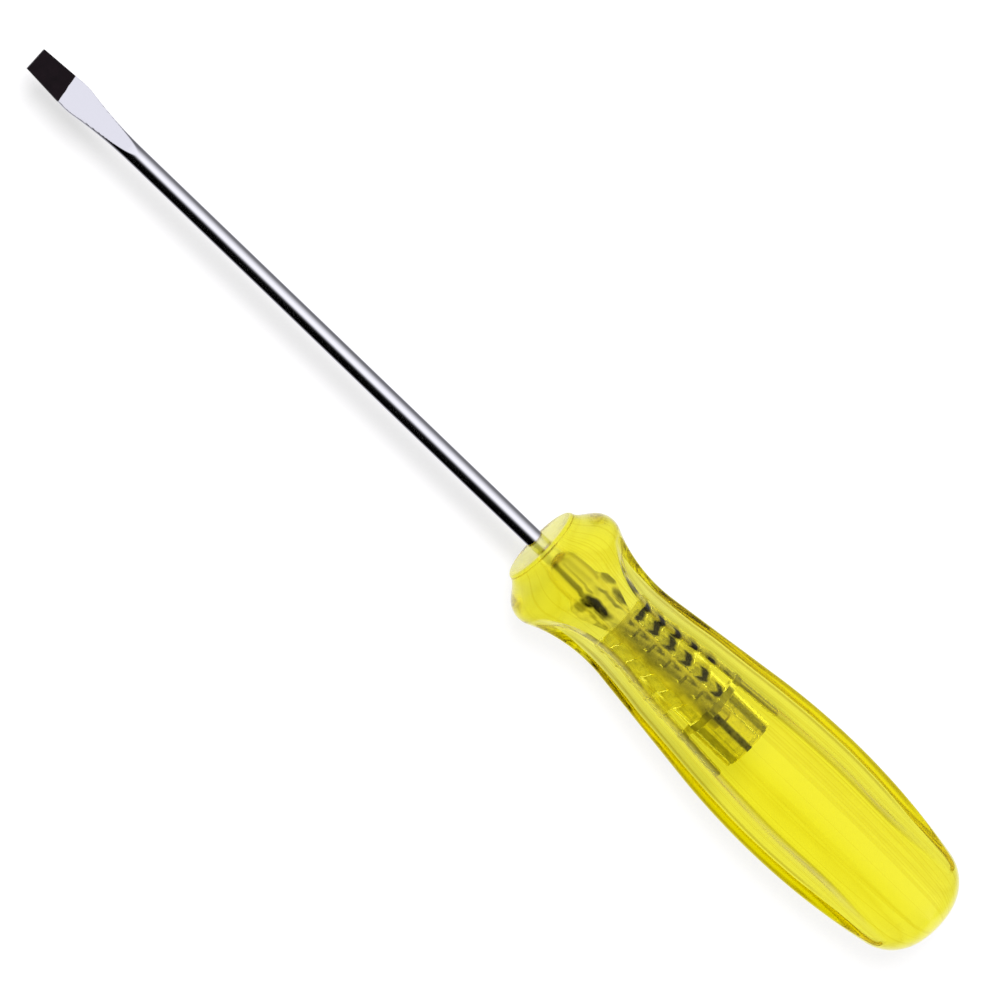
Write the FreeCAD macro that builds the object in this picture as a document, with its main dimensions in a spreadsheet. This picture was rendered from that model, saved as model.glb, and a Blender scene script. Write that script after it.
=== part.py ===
"""Slotted screwdriver with a moulded transparent handle, as a parametric FreeCAD document.

The tool is drawn along its own X axis: 0 is the blade's end face, and X grows towards the butt of the
handle. Y runs across the blade's flats and Z is normal to them. The bodies' Placement then turns the
tool round, so that in the part's frame +X points to the blade's tip, +Z is up, and the origin is under
the middle of the tool, on the surface it lies on. Lengths are in millimetres, angles in degrees.
"""
import FreeCAD, Part
import os
import Sketcher
from FreeCAD import Placement, Rotation, Vector

SIZES = {
    # blade: exposed length, forged tip and round shank
    "exposed_length": 150.0,
    "shank_radius": 2.05,
    "tip_half_width": 2.75,
    "tip_half_thickness": 0.5,
    "flare_start": 10.8,
    "flare_radius": 3.38,
    "flare_arc": 16.0,
    "flare_end": 29.5,
    "wedge_end": 20.0,
    "wedge_end_half_thickness": 1.0,
    "run_out_radius": 50.0,
    "run_out_height": 2.255,
    # blade: the part inside the handle
    "wing_start": 157.0,
    "wing_peak": 162.6,
    "wing_shoulder": 165.4,
    "wing_end": 175.5,
    "wing_half_width": 3.6,
    "wing_half_thickness": 0.95,
    "wing_root_half_width": 1.435,
    "press_ramp_half_length": 1.5,
    "press_rear_start": 165.9,
    "press_rear_end": 174.5,
    "dent_centre": 161.2,
    "dent_half_length": 3.2,
    "dent_half_width": 1.5,
    "dent_depth": 0.3,
    "tang_end": 205.0,
    "tang_chamfer": 0.6,
    # core: the inner moulding round the tang
    "core_start": 172.8,
    "core_radius": 4.65,
    "core_root_radius": 4.0,
    "barb_pitch": 4.8,
    "barb_lip": 0.9,
    "core_band_start": 200.0,
    "core_band_width": 1.8,
    "core_band_step": 0.35,
    "core_end": 212.2,
    "rib_notch_radius": 1.15,
    "rib_notch_centre": 4.95,
    "rib_count": 6,
    # handle outline, as stations behind its front face and radii
    "boss_radius": 9.4,
    "boss_edge": 0.9,
    "boss_length": 1.5,
    "guard_station": 8.0,
    "guard_radius": 14.45,
    "guard_round": 4.9,
    "waist_station": 24.5,
    "waist_radius": 10.92,
    "waist_rear_curve": 40.0,
    "swell_station": 78.3,
    "swell_radius": 16.03,
    "swell_curve": 172.0,
    "butt_round": 10.2,
    "butt_dome": 24.0,
    "handle_length": 118.9,
    "flute_count": 3,
    # the blade and core are turned this much about the axis, against the handle's upper land
    "insert_roll": 10.0,
    # height of the tool's axis above the surface it lies on
    "axis_height": 14.726,
}

# A cut's outline reaches past the surface it cuts: along the axis by this length, outwards to this
# share of the radius.
MARGIN = 1.0
OVERCUT = 1.5

# Flute floor along the grip: station behind the handle's front face, floor radius, cutter radius.
FLUTE_STATIONS = (
    ("neck", 10.0, 14.3, 4.5),
    ("fall", 14.5, 11.15, 7.0),
    ("waist", 22.0, 9.15, 12.0),
    ("rise", 42.0, 10.9, 15.5),
    ("swell", 77.0, 13.7, 20.0),
    ("taper", 96.0, 13.0, 16.0),
    ("butt", 111.5, 13.1, 7.0),
)
for station_name, station, floor, cutter in FLUTE_STATIONS:
    SIZES["flute_" + station_name + "_station"] = station
    SIZES["flute_" + station_name + "_floor"] = floor
    SIZES["flute_" + station_name + "_cutter"] = cutter


class Size:
    """A length that knows its value and the spreadsheet expression that gives it."""

    def __init__(self, value, text):
        self.value = value
        self.text = text

    def __add__(self, other):
        other = as_size(other)
        return Size(self.value + other.value, f"({self.text} + {other.text})")

    def __sub__(self, other):
        other = as_size(other)
        return Size(self.value - other.value, f"({self.text} - {other.text})")

    def __mul__(self, other):
        other = as_size(other)
        return Size(self.value * other.value, f"({self.text} * {other.text})")

    def __neg__(self):
        return Size(-self.value, f"(0 - {self.text})")


def as_size(number):
    """A plain number as a Size."""
    if isinstance(number, Size):
        return number
    return Size(float(number), repr(float(number)))


def size(alias):
    """The Size of one spreadsheet cell."""
    return Size(SIZES[alias], "sizes." + alias)


def make_sheet(doc):
    """The spreadsheet with the driving dimensions, one alias each."""
    sheet = doc.addObject("Spreadsheet::Sheet", "sizes")
    for row, (alias, number) in enumerate(SIZES.items(), start=1):
        sheet.set(f"A{row}", alias)
        sheet.set(f"B{row}", repr(number))
        sheet.setAlias(f"B{row}", alias)
    doc.recompute()
    return sheet


def origin_feature(body, role):
    """One of a body's own origin planes or axes, found by its role."""
    return next(item for item in body.Origin.OriginFeatures if item.Role == role)


def make_body(doc, name):
    """An empty body of the given name."""
    body = doc.addObject("PartDesign::Body", name)
    body.Label = name
    return body


def make_sketch(body, name, role, along=None):
    """An empty sketch on one of the body's origin planes, moved along that plane's normal."""
    sketch = body.newObject("Sketcher::SketchObject", name)
    sketch.AttachmentSupport = [(origin_feature(body, role), "")]
    sketch.MapMode = "FlatFace"
    if along is not None:
        sketch.AttachmentOffset = Placement(Vector(0, 0, along.value), Rotation())
        sketch.setExpression("AttachmentOffset.Base.z", along.text)
    return sketch


def pin(sketch, geometry, vertex, x=None, y=None):
    """Hold a vertex of the sketch at coordinates given by the spreadsheet."""
    for kind, coordinate in (("DistanceX", x), ("DistanceY", y)):
        if coordinate is None:
            continue
        number = coordinate.value
        index = sketch.addConstraint(Sketcher.Constraint(kind, -1, 1, geometry, vertex, number))
        bind_constraint(sketch, index, coordinate)


def bind_constraint(sketch, index, value):
    """Name a constraint and bind it to its expression."""
    label = f"dim{index}"
    sketch.renameConstraint(index, label)
    sketch.setExpression("Constraints." + label, value.text)


def nearest_vertex(sketch, geometry, point):
    """1 for the start or 2 for the end of a curve, whichever is nearer to the point."""
    curve = sketch.Geometry[geometry]
    start = (curve.StartPoint - point).Length
    end = (curve.EndPoint - point).Length
    return 1 if start <= end else 2


def arc_through(first, middle, last):
    """An arc through three points, turned anticlockwise as a sketch needs it."""
    turn = (middle - first).cross(last - middle).z
    if turn < 0:
        return Part.Arc(last, middle, first)
    return Part.Arc(first, middle, last)


def draw_outline(sketch, corners):
    """A closed outline from corners in order.

    Each corner is a dict: x and y are Sizes, guess_x and guess_y stand in for a coordinate that
    tangency decides, and smooth says that the outline passes the corner without a kink. Where an arc
    leads on to the next corner, via is a point near its middle, and radius, centre_x and centre_y are
    the Sizes that hold it.
    """
    places = []
    for corner in corners:
        x = corner["x"].value if "x" in corner else corner["guess_x"]
        y = corner["y"].value if "y" in corner else corner["guess_y"]
        places.append(Vector(x, y, 0))
    curves = []
    for number, corner in enumerate(corners):
        here = places[number]
        onward = places[(number + 1) % len(places)]
        if "via" in corner:
            curve = arc_through(here, Vector(*corner["via"], 0), onward)
        else:
            curve = Part.LineSegment(here, onward)
        curves.append(sketch.addGeometry(curve))
    for number, corner in enumerate(corners):
        before = curves[number - 1]
        after = curves[number]
        end = nearest_vertex(sketch, before, places[number])
        start = nearest_vertex(sketch, after, places[number])
        kind = "Tangent" if corner.get("smooth") else "Coincident"
        sketch.addConstraint(Sketcher.Constraint(kind, before, end, after, start))
        pin(sketch, after, start, corner.get("x"), corner.get("y"))
        if "via" in corner:
            pin(sketch, after, 3, corner.get("centre_x"), corner.get("centre_y"))
        if "radius" in corner:
            index = sketch.addConstraint(Sketcher.Constraint("Radius", after, corner["radius"].value))
            bind_constraint(sketch, index, corner["radius"])
    return curves


def draw_circle(sketch, x, y, radius):
    """A circle whose centre and radius are bound to the spreadsheet."""
    centre = Vector(x.value, y.value, 0)
    circle = sketch.addGeometry(Part.Circle(centre, Vector(0, 0, 1), radius.value))
    pin(sketch, circle, 3, x, y)
    index = sketch.addConstraint(Sketcher.Constraint("Radius", circle, radius.value))
    bind_constraint(sketch, index, radius)


def revolve(body, sketch, name):
    """A solid of revolution about the tool's axis."""
    feature = body.newObject("PartDesign::Revolution", name)
    feature.Profile = sketch
    feature.ReferenceAxis = (sketch, ["H_Axis"])
    feature.Angle = 360
    return feature


def pad_both_ways(body, sketch, name, thickness):
    """A pad of the given total thickness, centred on the sketch."""
    feature = body.newObject("PartDesign::Pad", name)
    feature.Profile = sketch
    feature.SideType = "Symmetric"
    feature.Length = thickness.value
    feature.setExpression("Length", thickness.text)
    return feature


def cut_through(body, sketch, name):
    """A pocket right through the body, both ways from the sketch."""
    feature = body.newObject("PartDesign::Pocket", name)
    feature.Profile = sketch
    feature.SideType = "Symmetric"
    feature.Type = "ThroughAll"
    return feature


def polar(body, features, name, count):
    """Copies of features spread evenly about the tool's axis."""
    pattern = body.newObject("PartDesign::PolarPattern", name)
    pattern.Originals = features
    pattern.Axis = (origin_feature(body, "X_Axis"), [""])
    pattern.Angle = 360
    pattern.Occurrences = int(count.value)
    pattern.setExpression("Occurrences", count.text)
    body.Tip = pattern
    return pattern


def build_blade(doc):
    """Forged tip, round shank and tang: one bar of steel."""
    body = make_body(doc, "blade")
    zero = as_size(0)
    shank = size("shank_radius")
    tang_end = size("tang_end")
    chamfer = size("tang_chamfer")

    # The bar's round outline: the tip widens to the flare, then falls to the shank along a long curve.
    bar = make_sketch(body, "bar_outline", "XY_Plane")
    draw_outline(bar, [
        {"x": zero, "y": zero},
        {"x": zero, "y": size("tip_half_width")},
        {"x": size("flare_start"), "y": size("flare_radius"), "radius": size("flare_arc"),
         "via": (12.3, 3.41), "smooth": True},
        {"guess_x": 14.2, "guess_y": 3.15, "via": (21.0, 2.38), "smooth": True},
        {"x": size("flare_end"), "y": shank, "smooth": True},
        {"x": tang_end - chamfer, "y": shank},
        {"x": tang_end, "y": shank - chamfer},
        {"x": tang_end, "y": zero},
    ])
    revolve(body, bar, "bar")

    # The wings are flattened out of the bar where the handle grips it.
    wings = make_sketch(body, "wing_outline", "XY_Plane")
    start = size("wing_start")
    peak = size("wing_peak")
    shoulder = size("wing_shoulder")
    end = size("wing_end")
    half = size("wing_half_width")
    root = size("wing_root_half_width")
    draw_outline(wings, [
        {"x": start, "y": -root},
        {"x": start, "y": root},
        {"x": peak, "y": half},
        {"x": shoulder, "y": half},
        {"x": end, "y": root},
        {"x": end, "y": -root},
        {"x": shoulder, "y": -half},
        {"x": peak, "y": -half},
    ])
    pad_both_ways(body, wings, "wings", size("wing_half_thickness") * 2)

    # The tip's two faces are a slim wedge that runs out on the round shank along a curve.
    for side, name in ((1, "upper"), (-1, "lower")):
        wedge = make_sketch(body, name + "_wedge", "XZ_Plane")
        edge = size("tip_half_thickness") * side
        level = size("wedge_end_half_thickness") * side
        run_out = size("run_out_height") * side
        clear = size("flare_radius") * (OVERCUT * side)
        draw_outline(wedge, [
            {"x": as_size(-MARGIN), "y": edge},
            {"x": zero, "y": edge},
            {"x": size("wedge_end"), "y": level, "via": (25.3, 1.42 * side), "smooth": True,
             "radius": size("run_out_radius")},
            {"guess_x": 29.9, "y": run_out},
            {"x": size("flare_end"), "y": clear},
            {"x": as_size(-MARGIN), "y": clear},
        ])
        cut_through(body, wedge, name + "_face")

    # The press flattens the bar between the wings, with a ramp at each end.
    ramp = size("press_ramp_half_length")
    for side, name in ((1, "upper"), (-1, "lower")):
        press = make_sketch(body, name + "_press", "XZ_Plane")
        level = size("wing_half_thickness") * side
        top = shank * side
        clear = shank * (OVERCUT * side)
        draw_outline(press, [
            {"x": start - ramp, "y": top},
            {"x": start + ramp, "y": level},
            {"x": size("press_rear_start"), "y": level},
            {"x": size("press_rear_end"), "y": top},
            {"x": size("press_rear_end"), "y": clear},
            {"x": start - ramp, "y": clear},
        ])
        cut_through(body, press, name + "_flat")

    # One oval dent on each flat, as the press leaves it.
    dent_level = size("wing_half_thickness") - size("dent_depth")
    for side, name in ((1, "upper"), (-1, "lower")):
        dent = make_sketch(body, name + "_dent_outline", "XY_Plane", dent_level * side)
        centre = size("dent_centre")
        reach = size("dent_half_length")
        wide = size("dent_half_width")
        draw_outline(dent, [
            {"x": centre - reach, "y": zero, "via": (centre.value, wide.value)},
            {"x": centre + reach, "y": zero, "via": (centre.value, -wide.value)},
        ])
        feature = body.newObject("PartDesign::Pocket", name + "_dent")
        feature.Profile = dent
        feature.Reversed = side > 0
        feature.Length = size("dent_depth").value * 2
        feature.setExpression("Length", (size("dent_depth") * 2).text)
    return body


def build_core(doc):
    """Inner moulding: barbed front, plain band and splined rear, with six ribs along it."""
    body = make_body(doc, "core_blank")
    zero = as_size(0)
    radius = size("core_radius")
    root = size("core_root_radius")
    pitch = size("barb_pitch")
    start = size("core_start")
    band = size("core_band_start")
    band_end = band + size("core_band_width")
    step = size("core_band_step")

    # Each barb rises in a cone to its lip and drops square to the next root.
    barbs = int((SIZES["core_band_start"] - SIZES["core_start"]) / SIZES["barb_pitch"])
    corners = [{"x": start, "y": zero}, {"x": start, "y": root}]
    for number in range(barbs):
        foot = start + pitch * (number + 1)
        corners.append({"x": foot - size("barb_lip"), "y": radius})
        corners.append({"x": foot, "y": root})
    corners += [
        {"x": band, "y": root},
        {"x": band, "y": radius},
        {"x": band_end, "y": radius},
        {"x": band_end, "y": radius - step},
        {"x": size("core_end"), "y": radius - step},
        {"x": size("core_end"), "y": zero},
    ]
    profile = make_sketch(body, "core_outline", "XY_Plane")
    draw_outline(profile, corners)
    revolve(body, profile, "core_round")

    # Round notches between the ribs, all the way along.
    notch = make_sketch(body, "rib_notch_outline", "YZ_Plane", start - MARGIN)
    draw_circle(notch, size("rib_notch_centre"), zero, size("rib_notch_radius"))
    groove = body.newObject("PartDesign::Pocket", "rib_notch")
    groove.Profile = notch
    groove.Reversed = True
    reach = size("core_end") - start + 2 * MARGIN
    groove.Length = reach.value
    groove.setExpression("Length", reach.text)
    polar(body, [groove], "ribs", size("rib_count"))
    return body


def build_handle(doc):
    """Outer moulding: front boss, flared guard, waist, swell and domed butt, with three flutes."""
    body = make_body(doc, "handle_blank")
    zero = as_size(0)
    front = size("exposed_length")
    base = SIZES["exposed_length"]
    boss = size("boss_radius")
    edge = size("boss_edge")
    guard_x = front + size("guard_station")
    waist_x = front + size("waist_station")
    swell_x = front + size("swell_station")
    end = front + size("handle_length")

    profile = make_sketch(body, "handle_outline", "XY_Plane")
    draw_outline(profile, [
        {"x": front, "y": zero},
        {"x": front, "y": boss - edge, "via": (base + 0.26, 9.14), "smooth": True},
        {"x": front + edge, "y": boss},
        {"x": front + size("boss_length"), "y": boss},
        {"guess_x": base + 4.5, "guess_y": 13.0, "via": (base + 8.0, 14.45), "smooth": True,
         "radius": size("guard_round"), "centre_x": guard_x,
         "centre_y": size("guard_radius") - size("guard_round")},
        {"guess_x": base + 10.6, "guess_y": 13.7, "via": (base + 17.0, 11.8), "smooth": True,
         "centre_x": waist_x},
        {"x": waist_x, "y": size("waist_radius"), "via": (base + 27.0, 11.0), "smooth": True,
         "radius": size("waist_rear_curve")},
        {"guess_x": base + 29.2, "guess_y": 11.2, "smooth": True},
        {"guess_x": base + 58.0, "guess_y": 14.8, "via": (base + 80.0, 16.02), "smooth": True,
         "radius": size("swell_curve"), "centre_x": swell_x,
         "centre_y": size("swell_radius") - size("swell_curve")},
        {"guess_x": base + 108.5, "guess_y": 13.3, "via": (base + 115.0, 10.6), "smooth": True,
         "radius": size("butt_round")},
        {"guess_x": base + 117.6, "guess_y": 7.8, "via": (base + 118.6, 3.5), "smooth": True,
         "radius": size("butt_dome"), "centre_x": end - size("butt_dome"), "centre_y": zero},
        {"guess_x": end.value, "y": zero},
    ])
    revolve(body, profile, "handle_round")

    # One flute, cut by a round tool whose path follows the grip and lifts out at both ends.
    sections = []
    for name, _, _, _ in FLUTE_STATIONS:
        along = front + size("flute_" + name + "_station")
        cutter = size("flute_" + name + "_cutter")
        centre = size("flute_" + name + "_floor") + cutter
        section = make_sketch(body, "flute_" + name + "_section", "YZ_Plane", along)
        draw_circle(section, zero, -centre, cutter)
        sections.append(section)
    flute = body.newObject("PartDesign::SubtractiveLoft", "flute")
    flute.Profile = sections[0]
    flute.Sections = sections[1:]
    flute.Closed = False
    flute.Ruled = False
    polar(body, [flute], "flutes", size("flute_count"))
    return body


def place(body, roll):
    """Lay a body along the frame's X axis with its tip to +X, turned by a roll about that axis."""
    half_length = (size("exposed_length") + size("handle_length")) * 0.5
    spot = f"vector({half_length.text}; 0; {size('axis_height').text})"
    turn = f"rotation(vector(0; 0; 1); 180) * rotation(vector(1; 0; 0); {(-roll).text})"
    body.setExpression("Placement", f"placement({spot}; {turn})")


def report_failures(doc):
    """The names of objects that did not compute."""
    return [item.Name for item in doc.Objects if set(item.State) & {"Invalid", "Error"}]


def main():
    """Build the document, check each node's solid and write one STEP file per node."""
    doc = FreeCAD.newDocument("screwdriver")
    make_sheet(doc)
    blade = build_blade(doc)
    core_blank = build_core(doc)
    handle_blank = build_handle(doc)
    doc.recompute()

    place(blade, size("insert_roll"))
    place(core_blank, size("insert_roll"))
    place(handle_blank, as_size(0))

    # The core is moulded round the tang, and the handle round both.
    core = doc.addObject("Part::Cut", "core")
    core.Base = core_blank
    core.Tool = blade
    insert = doc.addObject("Part::Fuse", "insert")
    insert.Base = core_blank
    insert.Tool = blade
    handle = doc.addObject("Part::Cut", "handle")
    handle.Base = handle_blank
    handle.Tool = insert
    doc.recompute()

    failed = report_failures(doc)
    if failed:
        raise RuntimeError("failed objects: " + ", ".join(failed))
    os.makedirs("parts", exist_ok=True)
    for node in (blade, core, handle):
        shape = node.Shape
        if shape.isNull() or not shape.isValid():
            raise RuntimeError("bad shape: " + node.Label)
        box = shape.optimalBoundingBox(False)
        print(node.Label, "volume", round(shape.Volume, 1), "solids", len(shape.Solids))
        print("  from", [round(edge, 3) for edge in (box.XMin, box.YMin, box.ZMin)],
              "to", [round(edge, 3) for edge in (box.XMax, box.YMax, box.ZMax)])
        shape.exportStep(os.path.join("parts", node.Label + ".step"))


main()
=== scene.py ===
import math

import bpy
import numpy as np
from mathutils import Matrix, Vector


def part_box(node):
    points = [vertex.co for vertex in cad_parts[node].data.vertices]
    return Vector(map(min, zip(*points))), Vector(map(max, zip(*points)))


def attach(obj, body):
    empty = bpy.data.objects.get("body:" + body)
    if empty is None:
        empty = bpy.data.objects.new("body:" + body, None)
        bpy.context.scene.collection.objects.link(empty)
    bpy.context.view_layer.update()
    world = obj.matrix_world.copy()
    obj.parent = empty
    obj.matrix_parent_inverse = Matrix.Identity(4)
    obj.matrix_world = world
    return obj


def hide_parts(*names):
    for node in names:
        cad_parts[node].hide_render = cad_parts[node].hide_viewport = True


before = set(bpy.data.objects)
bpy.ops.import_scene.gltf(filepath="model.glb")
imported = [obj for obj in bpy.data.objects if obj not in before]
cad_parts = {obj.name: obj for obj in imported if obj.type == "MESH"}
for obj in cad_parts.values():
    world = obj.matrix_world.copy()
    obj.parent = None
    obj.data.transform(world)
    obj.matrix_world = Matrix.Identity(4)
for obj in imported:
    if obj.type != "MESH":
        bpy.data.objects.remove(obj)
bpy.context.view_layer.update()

MM = 0.001
# a radius in millimetres that lies outside every piece, where nothing is cut away
UNCUT = 99.0

# ---------------------------------------------------------------- places that the frame gives
blade_low, blade_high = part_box("blade")
handle_low, handle_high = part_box("handle")
core_low, core_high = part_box("core")
TIP_X = blade_high.x
FACE_X = handle_high.x
AXIS_Z = (core_low.z + core_high.z) / 2

# ---------------------------------------------------------------- handle: stations from its face
# in all these tables sizes are in millimetres and angles in degrees, unless a comment says otherwise
BOSS_RADIUS = 9.4
BOSS_EDGE = 0.9
BOSS_LENGTH = 1.5
# the corner between the boss and the cone is eased by a mean over a few steps to each side
CORNER_EASE_START = BOSS_LENGTH - 0.4
CORNER_EASE_END = BOSS_LENGTH + 2
CORNER_EASE_STEP = 0.2
CORNER_EASE_STEPS = 5
GUARD_STATION = 8.0
GUARD_RADIUS = 14.45
GUARD_ROUND = 4.9
WAIST_STATION = 24.5
WAIST_RADIUS = 10.92
WAIST_REAR_CURVE = 40.0
SWELL_STATION = 78.3
SWELL_RADIUS = 16.03
SWELL_CURVE = 172.0
BUTT_ROUND = 10.2
BUTT_DOME = 24.0
HANDLE_LENGTH = (handle_high.x - handle_low.x) / MM
# station behind the front face, radius of the flute's floor, radius of its round bottom
FLUTE_STATIONS = (
    (10.0, 14.3, 4.5),
    (14.5, 11.15, 7.0),
    (22.0, 9.15, 12.0),
    (42.0, 10.9, 15.5),
    (77.0, 13.7, 20.0),
    (96.0, 13.0, 16.0),
    (111.5, 13.1, 7.0),
)
FLUTE_ANGLES = (60.0, 180.0, 300.0)
FLUTE_EDGE_ROUND = 1.5
# where the outline is slim, the rounding is no more than this share of its radius
SLIM_EDGE_SHARE = 0.2
# painted shade darkens the flutes' edges this far to each side, and fades out at the flutes' ends
EDGE_SHADE_REACH = 0.9
EDGE_SHADE_STATIONS = (14.0, 24.0, 92.0, 104.0)
EDGE_SHADE_COURSE = (0, 1, 1, 0)
HANDLE_COLUMN_STEP = 1.5

# ---------------------------------------------------------------- blade: stations from its tip
# the blade and the core sit turned this far about the tool's axis, towards -Y
INSERT_ROLL = 10.0
SHANK_RADIUS = 2.05
TIP_HALF_WIDTH = 2.75
TIP_HALF_THICKNESS = 0.5
FLARE_START = 10.8
FLARE_RADIUS = 3.38
FLARE_ARC = 16.0
FLARE_END = 29.5
WEDGE_END = 20.0
WEDGE_END_HALF_THICKNESS = 1.0
RUN_OUT_RADIUS = 50.0
RUN_OUT_LENGTH = 15.0
# behind this station the two faces have left the bar
FACES_END = 40.0
TIP_EDGE = 0.06
FACE_EDGE_ROUND = 0.1
WING_START = 157.0
WING_PEAK = 162.6
WING_SHOULDER = 165.4
WING_END = 175.5
WING_HALF_WIDTH = 3.6
WING_HALF_THICKNESS = 0.95
WING_ROOT_HALF_WIDTH = 1.435
PRESS_RAMP_HALF_LENGTH = 1.5
PRESS_REAR_START = 165.9
PRESS_REAR_END = 174.5
DENT_CENTRE = 161.2
DENT_HALF_LENGTH = 3.2
DENT_HALF_WIDTH = 1.5
DENT_DEPTH = 0.3
TANG_END = (blade_high.x - blade_low.x) / MM
TANG_CHAMFER = 0.6
# painted shade and dark reflections in patches on the buried steel: first and last station, then how far
# across they reach, and how dark
BURIED_SHADE_PATCHES = (
    (150.0, 157.0, 0.9, 1.7, 0.55),
    (150.0, 157.5, -1.6, -0.6, 0.5),
    (156.8, 164.0, -1.5, -0.6, 0.8),
    (161.5, 171.0, -1.7, -0.2, 1.0),
    (161.8, 166.0, -2.1, -0.9, 0.9),
    (161.0, 166.0, 2.6, 3.7, 0.75),
    (157.5, 162.0, 1.9, 2.6, 0.45),
    (161.6, 165.2, -3.5, -2.0, 0.6),
    (165.0, 176.0, -2.7, -2.2, 0.55),
    (162.8, 172.0, 0.9, 1.5, 0.65),
    (159.2, 163.4, -0.2, 0.3, 0.5),
    (166.0, 172.0, 1.9, 3.0, 0.85),
    (172.0, 200.0, -2.2, 0.2, 0.45),
)
# the painted shade that the whole buried stretch has at least
BURIED_BASE_SHADE = 0.12
# a patch is fully dark out to the first share of its half length and half width, and gone at the second
PATCH_FULL = 0.65
PATCH_GONE = 1.35
# the patches' edges wander along the bar in waves: how far, radians in a millimetre, and where they start
PATCH_WAVES = ((0.14, 0.9, 0.0), (0.05, 2.3, 1.0))
# the blade's rings and columns are close together where it has a shape and wide apart where it is plain
CLOSE_RINGS = 0.3
WIDE_RINGS = 4.0
CLOSE_COLUMNS = 0.6
WIDE_COLUMNS = 2.4

# ---------------------------------------------------------------- core: stations from its front
CORE_RADIUS = 4.65
CORE_ROOT_RADIUS = 4.0
BARB_PITCH = 4.8
BARB_LIP = 0.9
CORE_BAND_START = 27.2
CORE_BAND_WIDTH = 1.8
CORE_BAND_STEP = 0.35
CORE_LENGTH = (core_high.x - core_low.x) / MM
RIB_NOTCH_RADIUS = 1.15
RIB_NOTCH_CENTRE = 4.95
RIB_ANGLES = (30.0, 90.0, 150.0, 210.0, 270.0, 330.0)
RIB_EDGE_ROUND = 0.2
CORE_FACE_EDGE = 0.25
BARB_FLAT = 0.15
BAND_EDGE = 0.1
CORE_REAR_EDGE = 0.2
# how much further forward a barb lies at its sides than on top
BARB_SWEEP = 2.4
CORE_STATION_STEP = 0.2
CORE_COLUMN_STEP = 2.0

# ---------------------------------------------------------------- painted shade and dark reflections on the core
# angles are in degrees from the insert's own top and grow towards -Y
CHEVRON_MIDDLE = 34.0
# millimetres forward for each degree that a chevron's arm is off its middle
CHEVRON_LEAN = 0.09
# a stripe between two barbs: its middle and its fade as shares of the pitch, and half its width in fades
CHEVRON_STRIPE = (0.62, 0.17, 1.6)
MARK_STRIPE = (0.9, 0.07, 1.5)
# how dark, then first and last angle
# broad painted shade over the top
TOP_SHADE = (0.2, -22, 62)
TOP_SHADE_SOFT = 14
CHEVRONS = (0.9, 17, 52)
MARKS = (0.5, -18, 4)
LOWER_CHEVRONS = (0.12, -90, -20)
SPLINE_BARS = (
    (0.62, 36, 52),
    (0.85, -24, -8),
    (0.5, -90, -52),
    (0.25, 60, 90),
)
CORE_FRONT_END = 1.8
CORE_FRONT_SHADE = 0.12
BAND_SHADE = 0.45
# the underside gets this share of the painted shade
UNDERSIDE_SHARE = 0.35

# ---------------------------------------------------------------- colours and finishes
# names that end in X are places in the frame, and DEPTH and DENSITY are in metres and per metre
PLASTIC_IOR = 1.49
PLASTIC_GLOSS_TINT = (1.0, 0.97, 0.45, 1)
PLASTIC_DEPTH_TINT = (0.997, 0.981, 0.0, 1)
PLASTIC_DEPTH_DENSITY = 125
PLASTIC_CLEAR = (1.0, 0.998, 0.96)
PLASTIC_FLOW_LINE = (0.86, 0.81, 0.45)
# the colour of the painted shade along the flutes' edges, and its greatest share
PLASTIC_EDGE_SHADE = (0.35, 0.27, 0.02)
EDGE_SHADE_SHARE = 0.85
# each noise is a scale per metre, a detail, and a share of the scale for each axis
RIPPLE_NOISE = (160, 2.0, (0.35, 1, 1))
SPECK_NOISE = (900, 3.0)
BORDER_NOISE = (700, 2.0)
DRAWN_NOISE = (900, 3.0, (0.04, 1, 1))
MOTTLE_NOISE = (500, 3.0)
BLOTCH_NOISE = (700, 3.0, (0.35, 1, 1))
FLOW_SCALE = 4.0
# flow lines follow the places where the noise round the axis crosses a value between these two
FLOW_LEVELS = (0.47, 0.53)
FLOW_LINE_WIDTH = 0.03
FLOW_RELIEF = 0.35
SKIN_DEPTH = 0.12 * MM
SKIN_RELIEF = 0.5
SKIN_ROUGHNESS = (0.03, 0.08)
NOSE_ROUGHNESS = 0.16
NOSE_MATT_X = FACE_X - 2 * MM
NOSE_POLISHED_X = FACE_X - 11 * MM

# the step from the outer plastic to a thin film, not from air to plastic
CORE_IOR = 0.9
CORE_FUSED = (1.0, 0.95, 0.45)
# the colour of the painted shade on the core
CORE_SHADE = (0.02, 0.016, 0.002)
CORE_SPECK = 0.28
CORE_CLARITY = (0.9, 0.1)
CORE_ROUGHNESS = (0.05, 0.4)

STEEL_SPECULAR = 0.06
# the border of the black stretch: its station, how it slants across, how it wavers and how soft it is
BLACK_LENGTH = 9.15
BLACK_SLANT = 0.14
BLACK_WAVER = 0.12
BLACK_SOFT = 0.05
OXIDE_DARK = (0.002, 0.0015, 0.002)
OXIDE_LIGHT = (0.010, 0.006, 0.008)
OXIDE_ROUGHNESS = (0.32, 0.5)
CHROME_DARK = (0.90, 0.90, 0.92)
CHROME_LIGHT = (0.96, 0.96, 0.97)
CHROME_ROUGHNESS = (0.05, 0.13)
DRAWN_DEPTH = 0.004 * MM
DRAWN_RELIEF = 0.6
GROUND_FACE = (0.73, 0.73, 0.755)
# the tip's duller grind fades into the shank's plate between these two stations
GROUND_END = 27
CHROME_START = 31
# bare steel inside the handle, then the colour of its scale and its painted shade
BURIED_BRIGHT = (0.95, 0.90, 0.62)
BURIED_SCALE_AND_SHADE = (0.015, 0.013, 0.004)
BURIED_SCALE = 0.45
BURIED_ROUGHNESS = 0.22
# the plate gives way to buried steel between these two stations
PLATE_END = 154
BURIED_START = 158

# metres
FLOOR_HALF_WIDTH = 4.0
FLOOR_COLOUR = (0.36, 0.355, 0.365, 1)
FLOOR_GLOW = 0.64

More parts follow.
